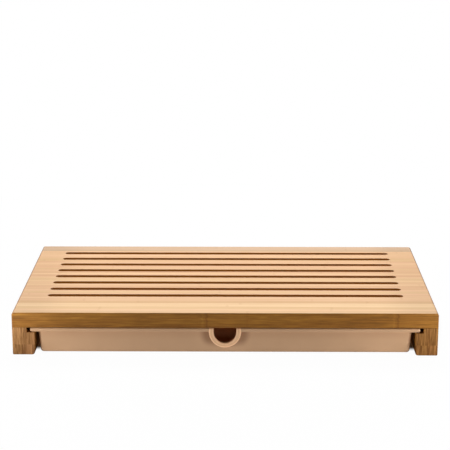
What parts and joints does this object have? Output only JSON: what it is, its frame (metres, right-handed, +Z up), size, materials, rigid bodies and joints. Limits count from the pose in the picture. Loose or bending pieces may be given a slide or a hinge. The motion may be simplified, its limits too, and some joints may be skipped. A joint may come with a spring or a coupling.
{
  "type": "bread board with crumb tray",
  "caption": "Slotted bamboo bread board on side rails, with a moulded crumb tray that hangs by its rim and slides out at the front by a finger notch.",
  "frame": {"origin": "centre of the board's footprint, on the surface it stands on", "axes": "+X along the board to the right, -Y out of the front where the tray comes out, +Z up"},
  "size_m": [0.42, 0.238, 0.0448],
  "materials": {
    "bamboo_panel": "satin, lightly oiled, strips on edge",
    "bamboo_rail": "satin, lightly oiled, end grain in front",
    "tray_plastic": "fine matt moulded, warm beige",
    "dowel_wood": "bare beech, fluted",
    "pad_rubber": "matt"
  },
  "bodies": {
    "board": {"top_board": "bamboo_panel", "rail_left": "bamboo_rail", "rail_right": "bamboo_rail", "rail_back": "bamboo_rail", "dowel_left_front": "dowel_wood", "dowel_left_middle": "dowel_wood", "dowel_left_rear": "dowel_wood", "dowel_right_front": "dowel_wood", "dowel_right_middle": "dowel_wood", "dowel_right_rear": "dowel_wood", "dowel_back_left": "dowel_wood", "dowel_back_right": "dowel_wood", "foot_front_left": "pad_rubber", "foot_front_right": "pad_rubber", "foot_rear_left": "pad_rubber", "foot_rear_right": "pad_rubber"},
    "tray": {"crumb_tray": "tray_plastic"}
  },
  "joints": [
    {"name": "tray_slide", "type": "slide", "parent": "board", "child": "tray", "axis": [0, -1, 0], "range_m": [0, 0.22]}
  ]
}
